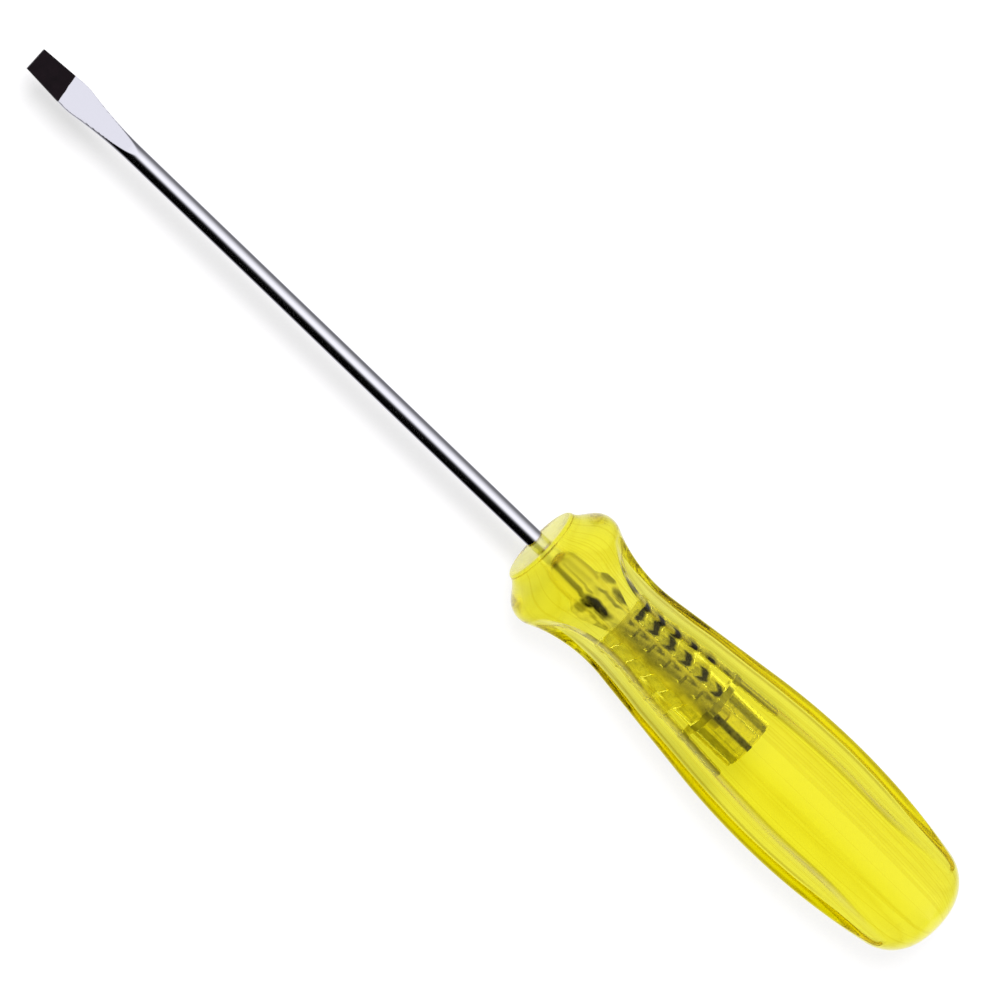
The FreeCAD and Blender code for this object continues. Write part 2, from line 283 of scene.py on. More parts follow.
# ---------------------------------------------------------------- studio and camera
# what reflections see: degrees from straight up, growing towards +Y, and how bright the studio is there
SKY = (
    (-180, 1.0), (-158, 0.80), (-140, 0.25), (-122, 0.17), (-105, 0.18), (-92, 0.22), (-76, 0.40),
    (-62, 0.62), (-48, 0.84), (-34, 1.0), (-20, 1.06), (-9, 1.0), (2, 0.76), (12, 0.34), (21, 0.09),
    (32, 0.008), (48, 0.0), (112, 0.0), (130, 0.28), (158, 0.80), (180, 1.0),
)
SKY_TINT = (0.985, 0.98, 1.07)
# how bright the tent is after a diffuse bounce
TENT_AFTER_BOUNCE = 0.25
# how much of the studio, rather than the tent, is seen through the clear plastic
SKY_THROUGH_PLASTIC = 0.3
KEY_DIRECTION = (0.33, -0.30, 1.0)
KEY_SPREAD = 24
CLEAR_KEY_ENERGY = 1.9
BLOCKED_KEY_ENERGY = 1.7
CAMERA_TILT = 12.0
CAMERA_DIAGONAL = 43.9
CAMERA_LENS = 1500
# metres
CAMERA_CLIP_END = 60
CAMERA_AIM_STATION = 137.4
CAMERA_AIM_ACROSS = 0.87
# the width that the picture takes in at the tool, in millimetres
PICTURE_WIDTH = 210.5


# ---------------------------------------------------------------- curves
def polar_point(centre, radius, angle):
    """The point of a circle at an angle in radians."""
    return np.array([centre[0] + radius * math.cos(angle), centre[1] + radius * math.sin(angle)])


def angle_of(centre, point):
    """The angle at which a point lies round a centre."""
    return math.atan2(point[1] - centre[1], point[0] - centre[0])


def arc(centre, radius, first, last, step):
    """Points along an arc from one point to another, the short way round, without the last point."""
    start = angle_of(centre, first)
    turn = (angle_of(centre, last) - start + math.pi) % (2 * math.pi) - math.pi
    count = max(2, int(abs(turn) * radius / step))
    return [polar_point(centre, radius, start + turn * k / count) for k in range(count)]


def line(first, last, step):
    """Points along a straight line, without the last point."""
    count = max(1, int(np.linalg.norm(np.subtract(last, first)) / step))
    return [np.array(first) + (np.array(last) - np.array(first)) * k / count for k in range(count)]


def circles_meet(centre_a, radius_a, centre_b, radius_b):
    """The point further back where two circles cross."""
    a = np.array(centre_a)
    b = np.array(centre_b)
    gap = np.linalg.norm(b - a)
    along = (gap**2 + radius_a**2 - radius_b**2) / (2 * gap)
    across = math.sqrt(radius_a**2 - along**2)
    unit = (b - a) / gap
    middle = a + unit * along
    side = np.array([-unit[1], unit[0]])
    points = [middle + side * across, middle - side * across]
    return max(points, key=lambda p: p[0])


def handle_outline(step=0.5):
    """Station and radius along the handle's outline, from the centre of its face to the butt."""
    guard = np.array([GUARD_STATION, GUARD_RADIUS - GUARD_ROUND])
    corner = np.array([BOSS_LENGTH, BOSS_RADIUS])
    reach = guard - corner
    gap = np.linalg.norm(reach)
    slope = math.atan2(reach[1], reach[0]) + math.asin(GUARD_ROUND / gap)
    cone_end = corner + math.sqrt(gap**2 - GUARD_ROUND**2) * np.array([math.cos(slope), math.sin(slope)])

    # the front curve of the waist touches the guard's round and is level at the waist
    along = WAIST_STATION - GUARD_STATION
    rise = WAIST_RADIUS - guard[1]
    waist_front_curve = (along**2 + rise**2 - GUARD_ROUND**2) / (2 * GUARD_ROUND - 2 * rise)
    waist_front = np.array([WAIST_STATION, WAIST_RADIUS + waist_front_curve])
    guard_end = guard + (waist_front - guard) * GUARD_ROUND / (waist_front_curve + GUARD_ROUND)

    # a straight run joins the rear curve of the waist to the swell
    waist_rear = np.array([WAIST_STATION, WAIST_RADIUS + WAIST_REAR_CURVE])
    swell = np.array([SWELL_STATION, SWELL_RADIUS - SWELL_CURVE])
    between = swell - waist_rear
    lean = math.acos((WAIST_REAR_CURVE + SWELL_CURVE) / np.linalg.norm(between))
    facing = math.atan2(between[1], between[0]) - lean
    run_start = polar_point(waist_rear, WAIST_REAR_CURVE, facing)
    run_end = polar_point(swell, -SWELL_CURVE, facing)

    # the butt's round touches the swell and the dome from inside
    dome = np.array([HANDLE_LENGTH - BUTT_DOME, 0.0])
    butt = circles_meet(swell, SWELL_CURVE - BUTT_ROUND, dome, BUTT_DOME - BUTT_ROUND)
    swell_end = swell + (butt - swell) * SWELL_CURVE / (SWELL_CURVE - BUTT_ROUND)
    dome_start = dome + (butt - dome) * BUTT_DOME / (BUTT_DOME - BUTT_ROUND)

    edge = (BOSS_EDGE, BOSS_RADIUS - BOSS_EDGE)
    waist = (WAIST_STATION, WAIST_RADIUS)
    points = line((0, 0), (0, BOSS_RADIUS - BOSS_EDGE), step * 2)
    points += arc(edge, BOSS_EDGE, (0, BOSS_RADIUS - BOSS_EDGE), (BOSS_EDGE, BOSS_RADIUS), step / 3)
    points += line((BOSS_EDGE, BOSS_RADIUS), corner, step)
    points += line(corner, cone_end, step)
    points += arc(guard, GUARD_ROUND, cone_end, guard_end, step)
    points += arc(waist_front, waist_front_curve, guard_end, waist, step)
    points += arc(waist_rear, WAIST_REAR_CURVE, waist, run_start, step)
    points += line(run_start, run_end, step)
    points += arc(swell, SWELL_CURVE, run_end, swell_end, step)
    points += arc(butt, BUTT_ROUND, swell_end, dome_start, step)
    points += arc(dome, BUTT_DOME, dome_start, (HANDLE_LENGTH, 0), step)
    points.append(np.array([HANDLE_LENGTH, 0.0]))
    return np.array(points)


def smooth_course(stations, values, at):
    """A curve through a few stations, smooth at each of them."""
    slopes = np.gradient(values, stations)
    where = np.clip(at, stations[0], stations[-1])
    cell = np.clip(np.searchsorted(stations, where) - 1, 0, len(stations) - 2)
    width = stations[cell + 1] - stations[cell]
    part = (where - stations[cell]) / width
    return (
        (2 * part**3 - 3 * part**2 + 1) * values[cell]
        + (part**3 - 2 * part**2 + part) * width * slopes[cell]
        + (3 * part**2 - 2 * part**3) * values[cell + 1]
        + (part**3 - part**2) * width * slopes[cell + 1]
    )


def smaller(first, second, blend):
    """The smaller of two radii, rounded over where they cross."""
    share = np.clip(0.5 + 0.5 * (second - first) / blend, 0, 1)
    return second * (1 - share) + first * share - blend * share * (1 - share)


def turned(angle, middle):
    """How far an angle is from a middle one given in degrees, between -pi and pi."""
    return (angle - math.radians(middle) + math.pi) % (2 * math.pi) - math.pi


def round_groove(angle, middles, centre, bottom):
    """The radius that round grooves leave: each has its centre outside the piece. It is UNCUT between."""
    reach = np.full(np.broadcast(angle, centre).shape, UNCUT)
    # a groove lies within a sixth of a turn of its middle
    for middle in middles:
        off = turned(angle, middle)
        inside = bottom**2 - (centre * np.sin(off)) ** 2
        near = centre * np.cos(off) - np.sqrt(np.maximum(inside, 0))
        hit = (np.abs(off) < math.pi / 3) & (inside > 0)
        reach = np.where(hit, np.minimum(reach, near), reach)
    return reach


def flute_radius(station, angle):
    """How far out the flutes let the handle reach, at a station and an angle from the upper land."""
    table = np.array(FLUTE_STATIONS)
    floor = smooth_course(table[:, 0], table[:, 1], station)
    bottom = smooth_course(table[:, 0], table[:, 2], station)
    reach = round_groove(angle, FLUTE_ANGLES, floor + bottom, bottom)
    inner = (station > table[0, 0]) & (station < table[-1, 0])
    return np.where(inner, reach, UNCUT)


def bar_radius(station):
    """The round outline of the blade: a straight taper, a rounded flare, a long fall to the shank."""
    flare = np.array([FLARE_START, FLARE_RADIUS])
    taper = np.array([FLARE_START, FLARE_RADIUS - TIP_HALF_WIDTH])
    taper /= np.linalg.norm(taper)
    hump = flare + FLARE_ARC * np.array([taper[1], -taper[0]])
    # the fall is an arc that touches the hump and is level where it meets the shank
    along = FLARE_END - hump[0]
    drop = hump[1] - SHANK_RADIUS
    fall_curve = (along**2 + drop**2 - FLARE_ARC**2) / (2 * FLARE_ARC + 2 * drop)
    fall = np.array([FLARE_END, SHANK_RADIUS + fall_curve])
    meet = hump + (fall - hump) * FLARE_ARC / (FLARE_ARC + fall_curve)
    radius = np.full(station.shape, SHANK_RADIUS)
    front = station < FLARE_START
    radius[front] = TIP_HALF_WIDTH + (FLARE_RADIUS - TIP_HALF_WIDTH) * station[front] / FLARE_START
    crown = (station >= FLARE_START) & (station < meet[0])
    radius[crown] = hump[1] + np.sqrt(FLARE_ARC**2 - (station[crown] - hump[0]) ** 2)
    sinking = (station >= meet[0]) & (station < FLARE_END)
    radius[sinking] = fall[1] - np.sqrt(fall_curve**2 - (station[sinking] - fall[0]) ** 2)
    return radius


def face_level(station):
    """Half the blade's thickness between its two faces, out to where they run out on the shank."""
    slope = (WEDGE_END_HALF_THICKNESS - TIP_HALF_THICKNESS) / WEDGE_END
    level = TIP_HALF_THICKNESS + slope * station
    past = np.clip(station - WEDGE_END, 0, RUN_OUT_LENGTH)
    level = level + past**2 / (2 * RUN_OUT_RADIUS)
    return np.where(station < FACES_END, level, UNCUT)


def press_level(station):
    """Half the thickness that the press leaves between the wings, with a ramp at each end."""
    front = WING_START - PRESS_RAMP_HALF_LENGTH
    stations = [front, WING_START + PRESS_RAMP_HALF_LENGTH, PRESS_REAR_START, PRESS_REAR_END]
    levels = [SHANK_RADIUS, WING_HALF_THICKNESS, WING_HALF_THICKNESS, SHANK_RADIUS]
    inside = (station > stations[0]) & (station < stations[-1])
    return np.where(inside, np.interp(station, stations, levels), UNCUT)


def wing_width(station):
    """Half the width across the wings, or nothing away from them."""
    stations = [WING_START, WING_PEAK, WING_SHOULDER, WING_END]
    widths = [WING_ROOT_HALF_WIDTH, WING_HALF_WIDTH, WING_HALF_WIDTH, WING_ROOT_HALF_WIDTH]
    inside = (station > WING_START) & (station < WING_END)
    return np.where(inside, np.interp(station, stations, widths), 0.0)


# ---------------------------------------------------------------- meshes
def grid_mesh(name, front_x, stations, radii, angles, painted_shade, smooth_angle=180.0):
    """A closed skin round the tool's axis. Row k of radii lies at stations[k], in millimetres back from
    front_x, and the first and last rows are single points. Angle 0 is up, and angles grow towards -Y.
    The last argument is how much painted shade lies at each point, kept on the mesh under its name."""
    columns = radii.shape[1]
    x = front_x - np.repeat(stations[:, None], columns, axis=1) * MM
    y = -radii * np.sin(angles)[None, :] * MM
    z = AXIS_Z + radii * np.cos(angles)[None, :] * MM
    inner = np.stack([x, y, z], axis=-1)[1:-1]
    rows = inner.shape[0]
    points = [(x[0, 0], 0.0, AXIS_Z), *map(tuple, inner.reshape(-1, 3)), (x[-1, 0], 0.0, AXIS_Z)]
    end = len(points) - 1
    faces = []
    for column in range(columns):
        after = (column + 1) % columns
        faces.append((0, 1 + column, 1 + after))
        for row in range(rows - 1):
            here = 1 + row * columns
            faces.append((here + column, here + columns + column, here + columns + after, here + after))
        ring = 1 + (rows - 1) * columns
        faces.append((end, ring + after, ring + column))
    mesh = bpy.data.meshes.new(name)
    mesh.from_pydata(points, [], faces)
    mesh.validate()
    layer = mesh.attributes.new("painted_shade", "FLOAT", "POINT")
    layer.data.foreach_set("value", np.concatenate([painted_shade[0, :1], painted_shade[1:-1].ravel(), painted_shade[-1, :1]]))
    mesh.shade_smooth()
    if smooth_angle < 180:
        mesh.set_sharp_from_angle(angle=math.radians(smooth_angle))
    piece = bpy.data.objects.new(name, mesh)
    bpy.context.scene.collection.objects.link(piece)
    return piece


def capped(stations, radii, painted_shade):
    """Adds a closing point in front of and behind a grid whose end rings aren't points."""
    zero = np.zeros((1, radii.shape[1]))
    stations = np.concatenate([stations[:1], stations, stations[-1:]])
    radii = np.concatenate([zero, radii, zero])
    return stations, radii, np.concatenate([painted_shade[:1], painted_shade, painted_shade[-1:]])


def stands_for(piece, node, material):
    """Puts a new piece in a CAD node's place and paints it."""
    piece.data.materials.append(material)
    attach(piece, "root")
    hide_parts(node)


# ---------------------------------------------------------------- materials
class Nodes:
    """The node tree of a material or a world, emptied first, with short ways to add its nodes."""

    def __init__(self, owner, output, place):
        owner.use_nodes = True
        self.tree = owner.node_tree
        self.tree.nodes.clear()
        self.output = self.add(output)
        self.place = self.add("ShaderNodeTexCoord").outputs[place]

    def add(self, kind, **settings):
        """A new node with properties set."""
        node = self.tree.nodes.new(kind)
        for key, value in settings.items():
            setattr(node, key, value)
        return node

    def link(self, source, target):
        """Links an output to an input."""
        self.tree.links.new(source, target)

    def work(self, operation, *values, clamp=False):
        """The outcome of a math node on values, each a number or an output."""
        node = self.add("ShaderNodeMath", operation=operation, use_clamp=clamp)
        for socket, value in zip(node.inputs, values):
            if isinstance(value, (int, float)):
                socket.default_value = value
            else:
                self.link(value, socket)
        return node.outputs["Value"]

    def parts_of_place(self):
        """The place on the piece, or the direction in a world, as separate X, Y and Z outputs."""
        apart = self.add("ShaderNodeSeparateXYZ")
        self.link(self.place, apart.inputs["Vector"])
        return apart.outputs["X"], apart.outputs["Y"], apart.outputs["Z"]

    def painted_shade(self):
        """The painted shade kept on the mesh under that name."""
        return self.add("ShaderNodeAttribute", attribute_name="painted_shade").outputs["Fac"]

    def noise(self, scale, detail, shares=(1, 1, 1)):
        """Noise of a scale per metre. A share below 1 draws it out along that axis."""
        mapping = self.add("ShaderNodeMapping")
        mapping.inputs["Scale"].default_value = shares
        self.link(self.place, mapping.inputs["Vector"])
        noise = self.add("ShaderNodeTexNoise")
        noise.inputs["Scale"].default_value = scale
        noise.inputs["Detail"].default_value = detail
        self.link(mapping.outputs["Vector"], noise.inputs["Vector"])
        return noise.outputs["Fac"]

    def spread(self, source, low, high, start=0.0, end=1.0):
        """A value mapped from start..end to low..high."""
        ranges = self.add("ShaderNodeMapRange")
        ranges.inputs["From Min"].default_value = start
        ranges.inputs["From Max"].default_value = end
        ranges.inputs["To Min"].default_value = low
        ranges.inputs["To Max"].default_value = high
        self.link(source, ranges.inputs["Value"])
        return ranges.outputs["Result"]

    def blend(self, factor, first, second):
        """A mix of two colours, each a tuple or an output."""
        mix = self.add("ShaderNodeMix", data_type="RGBA")
        sockets = [s for s in mix.inputs if s.type == "RGBA"]
        self.link(factor, mix.inputs[0])
        for socket, value in zip(sockets, (first, second)):
            if isinstance(value, tuple):
                socket.default_value = (*value, 1)
            else:
                self.link(value, socket)
        return next(s for s in mix.outputs if s.type == "RGBA")

    def bump(self, height, depth, strength):
        """A bump normal from a height map, with its depth in metres."""
        node = self.add("ShaderNodeBump")
        node.inputs["Strength"].default_value = strength
        node.inputs["Distance"].default_value = depth
        self.link(height, node.inputs["Height"])
        return node.outputs["Normal"]


class Paint(Nodes):
    """The nodes of a new material."""

    def __init__(self, name):
        self.material = bpy.data.materials.new(name)
        super().__init__(self.material, "ShaderNodeOutputMaterial", "Object")


def clear_yellow():
    """Clear yellow moulding: tinted by its depth, polished, with faint flow lines along it, painted shade
    along the flutes' edges, and a nose that the mould left slightly matt."""
    paint = Paint("clear_yellow")
    plastic = paint.add("ShaderNodeBsdfPrincipled")
    plastic.inputs["IOR"].default_value = PLASTIC_IOR
    plastic.inputs["Transmission Weight"].default_value = 1.0
    plastic.inputs["Specular Tint"].default_value = PLASTIC_GLOSS_TINT
    ripple = paint.noise(*RIPPLE_NOISE)
    x, y, z = paint.parts_of_place()
    round_axis = paint.work("ARCTAN2", y, paint.work("SUBTRACT", z, AXIS_Z))
    flow_noise = paint.add("ShaderNodeTexNoise", noise_dimensions="1D")
    flow_noise.inputs["Scale"].default_value = FLOW_SCALE
    paint.link(round_axis, flow_noise.inputs["W"])
    flow = flow_noise.outputs["Fac"]
    off_line = paint.work("ABSOLUTE", paint.work("SUBTRACT", flow, paint.spread(ripple, *FLOW_LEVELS)))
    clear = paint.spread(off_line, 0.0, 1.0, 0.0, FLOW_LINE_WIDTH)
    tone = paint.blend(clear, PLASTIC_FLOW_LINE, PLASTIC_CLEAR)
    # painted shade along the flutes' edges
    edge = paint.spread(paint.painted_shade(), 0.0, EDGE_SHADE_SHARE)
    paint.link(paint.blend(edge, tone, PLASTIC_EDGE_SHADE), plastic.inputs["Base Color"])
    nose = paint.spread(x, 0.0, NOSE_ROUGHNESS, NOSE_POLISHED_X, NOSE_MATT_X)
    skin = paint.spread(ripple, *SKIN_ROUGHNESS)
    paint.link(paint.work("ADD", nose, skin), plastic.inputs["Roughness"])
    relief = paint.work("MULTIPLY_ADD", flow, FLOW_RELIEF, ripple)
    paint.link(paint.bump(relief, SKIN_DEPTH, SKIN_RELIEF), plastic.inputs["Normal"])
    paint.link(plastic.outputs["BSDF"], paint.output.inputs["Surface"])
    tint = paint.add("ShaderNodeVolumeAbsorption")
    tint.inputs["Color"].default_value = PLASTIC_DEPTH_TINT
    tint.inputs["Density"].default_value = PLASTIC_DEPTH_DENSITY
    paint.link(tint.outputs["Volume"], paint.output.inputs["Volume"])
    return paint.material


def olive_core():
    """The inner moulding: clear yellow, with painted shade and dark reflections in its grooves, heavier on
    top, and random dark specks."""
    paint = Paint("olive_core")
    plastic = paint.add("ShaderNodeBsdfPrincipled")
    plastic.inputs["IOR"].default_value = CORE_IOR
    speck = paint.spread(paint.noise(*SPECK_NOISE), -CORE_SPECK, CORE_SPECK)
    # painted shade from the mesh, with random specks
    shade_and_speck = paint.work("ADD", paint.painted_shade(), speck, clamp=True)
    paint.link(paint.blend(shade_and_speck, CORE_FUSED, CORE_SHADE), plastic.inputs["Base Color"])
    paint.link(paint.spread(shade_and_speck, *CORE_CLARITY), plastic.inputs["Transmission Weight"])
    paint.link(paint.spread(shade_and_speck, *CORE_ROUGHNESS), plastic.inputs["Roughness"])
    paint.link(plastic.outputs["BSDF"], paint.output.inputs["Surface"])
    return paint.material


def chrome_steel():
    """Chrome plate with faint drawn lines, a duller ground tip with black oxide on its last stretch, and
    bare steel inside the handle with random blotches of scale and painted shade and dark reflections in
    patches."""
    paint = Paint("chrome_steel")
    steel = paint.add("ShaderNodeBsdfPrincipled")
    steel.inputs["Specular IOR Level"].default_value = STEEL_SPECULAR
    x, y, _ = paint.parts_of_place()
    waver = paint.spread(paint.noise(*BORDER_NOISE), -BLACK_WAVER * MM, BLACK_WAVER * MM)
    along = paint.work("ADD", x, paint.work("MULTIPLY_ADD", y, BLACK_SLANT, waver))
    border = TIP_X - BLACK_LENGTH * MM
    black = paint.spread(along, 0.0, 1.0, border - BLACK_SOFT * MM, border + BLACK_SOFT * MM)
    grain = paint.noise(*DRAWN_NOISE)
    mottle = paint.noise(*MOTTLE_NOISE)
    plate = paint.blend(grain, CHROME_DARK, CHROME_LIGHT)
    ground = paint.spread(x, 0.0, 1.0, TIP_X - CHROME_START * MM, TIP_X - GROUND_END * MM)
    plate = paint.blend(ground, plate, GROUND_FACE)
    buried = paint.spread(x, 1.0, 0.0, TIP_X - BURIED_START * MM, TIP_X - PLATE_END * MM)
    blotch = paint.spread(paint.noise(*BLOTCH_NOISE), -BURIED_SCALE, BURIED_SCALE)
    # painted shade from the mesh, with random blotches of scale
    scale = paint.work("ADD", paint.painted_shade(), blotch, clamp=True)
    plate = paint.blend(buried, plate, paint.blend(scale, BURIED_BRIGHT, BURIED_SCALE_AND_SHADE))
    oxide = paint.blend(mottle, OXIDE_DARK, OXIDE_LIGHT)
    paint.link(paint.blend(black, plate, oxide), steel.inputs["Base Color"])
    paint.link(paint.spread(black, 1.0, 0.0), steel.inputs["Metallic"])
    drawn = paint.spread(grain, *CHROME_ROUGHNESS)
    shine = paint.work("MULTIPLY_ADD", buried, BURIED_ROUGHNESS, drawn)
    rough = paint.add("ShaderNodeMix", data_type="FLOAT")
    paint.link(black, rough.inputs[0])
    paint.link(shine, rough.inputs[2])
    paint.link(paint.spread(mottle, *OXIDE_ROUGHNESS), rough.inputs[3])
    paint.link(rough.outputs[0], steel.inputs["Roughness"])
    paint.link(paint.bump(grain, DRAWN_DEPTH, DRAWN_RELIEF), steel.inputs["Normal"])
    paint.link(steel.outputs["BSDF"], paint.output.inputs["Surface"])
    return paint.material


def pale_floor():
    """Plain white sheet that also glows by itself, as a light table does."""
    paint = Paint("pale_floor")
    sheet = paint.add("ShaderNodeBsdfPrincipled")
    sheet.inputs["Base Color"].default_value = FLOOR_COLOUR
    sheet.inputs["Roughness"].default_value = 1.0
    sheet.inputs["Specular IOR Level"].default_value = 0.0
    sheet.inputs["Emission Color"].default_value = (1, 1, 1, 1)
    sheet.inputs["Emission Strength"].default_value = FLOOR_GLOW
    paint.link(sheet.outputs["BSDF"], paint.output.inputs["Surface"])
    return paint.material


# ---------------------------------------------------------------- pieces
def build_handle():
    """The clear yellow moulding: round outline, three flutes with rounded edges."""
    stations, outline = handle_outline().T
    steps = range(-CORNER_EASE_STEPS, CORNER_EASE_STEPS + 1)
    moved = [np.interp(stations + step * CORNER_EASE_STEP, stations, outline) for step in steps]
    near_corner = (stations > CORNER_EASE_START) & (stations < CORNER_EASE_END)
    outline = np.where(near_corner, np.mean(moved, axis=0), outline)
    angles = np.radians(np.arange(0, 360, HANDLE_COLUMN_STEP))
    round_radius = outline[:, None] * np.ones_like(angles)[None, :]
    fluted = flute_radius(stations[:, None], angles[None, :])
    # the small addition keeps the rounding above zero where the outline meets the axis
    blend = np.minimum(FLUTE_EDGE_ROUND, round_radius * SLIM_EDGE_SHARE + 0.001)
    radii = smaller(round_radius, fluted, blend)
    # painted shade along the flutes' edges, strongest right on them
    edge_shade = np.clip(1.0 - np.abs(round_radius - fluted) / EDGE_SHADE_REACH, 0, 1)
    edge_shade *= np.interp(stations, EDGE_SHADE_STATIONS, EDGE_SHADE_COURSE)[:, None]
    piece = grid_mesh("handle_moulding", FACE_X, stations, radii, angles, edge_shade)
    stands_for(piece, "handle", clear_yellow())
    return piece


def core_painted_shade(station, angle):
    """How much painted shade and dark reflection lies on the core, from 0 to 1: chevrons in the barbs'
    grooves on one side of the top, small marks along the top, a plain band, and bars between the rear
    splines. The underside has a fainter mirror image of it."""
    degrees = np.degrees((angle + math.pi) % (2 * math.pi) - math.pi)
    behind = np.abs(degrees) > 90
    degrees = np.where(behind, np.sign(degrees) * 180 - degrees, degrees)

    def sector(depth, first, last, soft=4.0):
        """A depth of film from the first angle to the last, with soft ends."""
        rise = np.clip((degrees - first) / soft + 0.5, 0, 1)
        fall = np.clip((last - degrees) / soft + 0.5, 0, 1)
        return depth * rise * fall

    def stripes(place, middle, fade, half_width):
        """One soft stripe for each barb, with half its width counted in fades."""
        phase = (place / BARB_PITCH) % 1.0
        return np.clip(half_width - np.abs(phase - middle) / fade, 0, 1)

    chevron = stripes(station + np.abs(degrees - CHEVRON_MIDDLE) * CHEVRON_LEAN, *CHEVRON_STRIPE)
    mark = stripes(station, *MARK_STRIPE)
    barbed = sector(*TOP_SHADE, TOP_SHADE_SOFT) + chevron * sector(*CHEVRONS) + mark * sector(*MARKS)
    barbed += chevron * sector(*LOWER_CHEVRONS)
    barbed = np.where(station < CORE_FRONT_END, CORE_FRONT_SHADE, barbed)
    splined = sum(sector(*bar) for bar in SPLINE_BARS)
    painted_shade = np.where(station < CORE_BAND_START, barbed, BAND_SHADE)
    painted_shade = np.where(station > CORE_BAND_START + CORE_BAND_WIDTH, splined, painted_shade)
    return np.clip(painted_shade, 0, 1) * np.where(behind, UNDERSIDE_SHARE, 1.0)


def build_core():
    """The inner moulding: barbs that sweep forward down its sides, six ribs, a plain band and a splined
    rear."""
    barbs = int(CORE_BAND_START / BARB_PITCH)
    marks = [(0.0, CORE_ROOT_RADIUS - CORE_FACE_EDGE), (CORE_FACE_EDGE, CORE_ROOT_RADIUS)]
    for barb in range(barbs):
        foot = BARB_PITCH * (barb + 1)
        lip = foot - BARB_LIP
        marks += [(lip, CORE_RADIUS), (lip + BARB_FLAT, CORE_RADIUS), (foot, CORE_ROOT_RADIUS)]
    barbs_end = CORE_BAND_START - BAND_EDGE
    band_end = CORE_BAND_START + CORE_BAND_WIDTH
    rear = CORE_RADIUS - CORE_BAND_STEP
    marks += [(barbs_end, CORE_ROOT_RADIUS), (CORE_BAND_START + BAND_EDGE, CORE_RADIUS)]
    marks += [(band_end - BAND_EDGE, CORE_RADIUS), (band_end + BAND_EDGE, rear)]
    marks += [(CORE_LENGTH - CORE_REAR_EDGE, rear), (CORE_LENGTH, rear - CORE_REAR_EDGE)]
    marks = np.array(marks)
    even = np.arange(CORE_FACE_EDGE, CORE_LENGTH, CORE_STATION_STEP)
    stations = np.unique(np.round(np.concatenate([marks[:, 0], even]), 4))
    angles = np.radians(np.arange(0, 360, CORE_COLUMN_STEP))
    turn = angles - math.radians(INSERT_ROLL)
    sweep = BARB_SWEEP * (1 - np.abs(np.cos(turn)))[None, :]
    swept = np.minimum(stations[:, None] + sweep, np.maximum(stations, barbs_end)[:, None])
    # the eased front edge isn't swept
    swept = np.where((stations > 0.3)[:, None], swept, stations[:, None])
    profile = np.interp(swept, marks[:, 0], marks[:, 1])
    notch = round_groove(turn[None, :], RIB_ANGLES, RIB_NOTCH_CENTRE, RIB_NOTCH_RADIUS)
    radii = smaller(profile, notch, RIB_EDGE_ROUND)
    painted_shade = core_painted_shade(stations[:, None], turn[None, :])
    stations, radii, painted_shade = capped(stations, radii, painted_shade)
    piece = grid_mesh("core_moulding", core_high.x, stations, radii, angles, painted_shade, 35)
    stands_for(piece, "core", olive_core())


def blade_painted_shade(station, across):
    """How much painted shade lies on the buried part of the blade, from 0 to 1, at a distance off its
    middle plane: painted shade and dark reflections in patches, where across grows towards -Y."""
    sway = sum(far * np.sin(station * rate + start) for far, rate, start in PATCH_WAVES)
    painted_shade = np.full(np.broadcast(station, across).shape, BURIED_BASE_SHADE)
    for first, last, low, high, depth in BURIED_SHADE_PATCHES:
        along = (station - (first + last) / 2) / ((last - first) / 2)
        beside = (across + sway - (low + high) / 2) / ((high - low) / 2)
        reach = np.sqrt(np.abs(along) ** 3 + beside**2)
        fade = np.clip((PATCH_GONE - reach) / (PATCH_GONE - PATCH_FULL), 0, 1)
        painted_shade = np.maximum(painted_shade, depth * fade)
    return painted_shade


def build_blade():
    """The forged bar: wedge tip, round shank, pressed wings with a dent on each flat, plain tang."""
    stations = np.concatenate([
        [0.0, 0.08],
        np.arange(0.4, 31.0, CLOSE_RINGS),
        np.arange(33.0, 154.0, WIDE_RINGS),
        np.arange(155.0, 176.5, CLOSE_RINGS),
        np.arange(180.0, TANG_END - 1, WIDE_RINGS),
        [TANG_END - TANG_CHAMFER, TANG_END],
    ])
    # the columns are close together where the flats meet the tip's narrow sides
    turn = np.radians(np.concatenate([
        np.arange(0, 72, WIDE_COLUMNS),
        np.arange(72, 108, CLOSE_COLUMNS),
        np.arange(108, 252, WIDE_COLUMNS),
        np.arange(252, 288, CLOSE_COLUMNS),
        np.arange(288, 360, WIDE_COLUMNS),
    ]))
    angles = turn + math.radians(INSERT_ROLL)
    # both are kept above zero, because they divide
    lean = np.maximum(np.abs(np.cos(turn)), 1e-4)[None, :]
    side = np.maximum(np.abs(np.sin(turn)), 1e-4)[None, :]
    bar = bar_radius(stations)
    bar[-1] -= TANG_CHAMFER
    bar = bar[:, None] * np.ones_like(lean)
    faces = face_level(stations)[:, None] / lean
    radii = smaller(bar, np.minimum(faces, UNCUT), FACE_EDGE_ROUND)
    # from just ahead of the wings the bar is pressed flat, and the wings stand out at its sides
    pressed = np.minimum(bar, press_level(stations)[:, None] / lean)
    wing = np.minimum(wing_width(stations)[:, None] / side, WING_HALF_THICKNESS / lean)
    radii = np.where((stations > WING_START - 2)[:, None], np.maximum(pressed, wing), radii)
    # the dents
    across = radii * side
    off = ((stations[:, None] - DENT_CENTRE) / DENT_HALF_LENGTH) ** 2 + (across / DENT_HALF_WIDTH) ** 2
    depth = DENT_DEPTH * np.clip(1 - off**2, 0, 1)
    radii = radii - np.where(off < 1, depth / lean, 0.0)
    # the end face is eased at its edge
    radii[0] -= TIP_EDGE
    painted_shade = blade_painted_shade(stations[:, None], radii * np.sin(turn)[None, :])
    stations, radii, painted_shade = capped(stations, radii, painted_shade)
    piece = grid_mesh("blade_bar", TIP_X, stations, radii, angles, painted_shade, 28)
    stands_for(piece, "blade", chrome_steel())


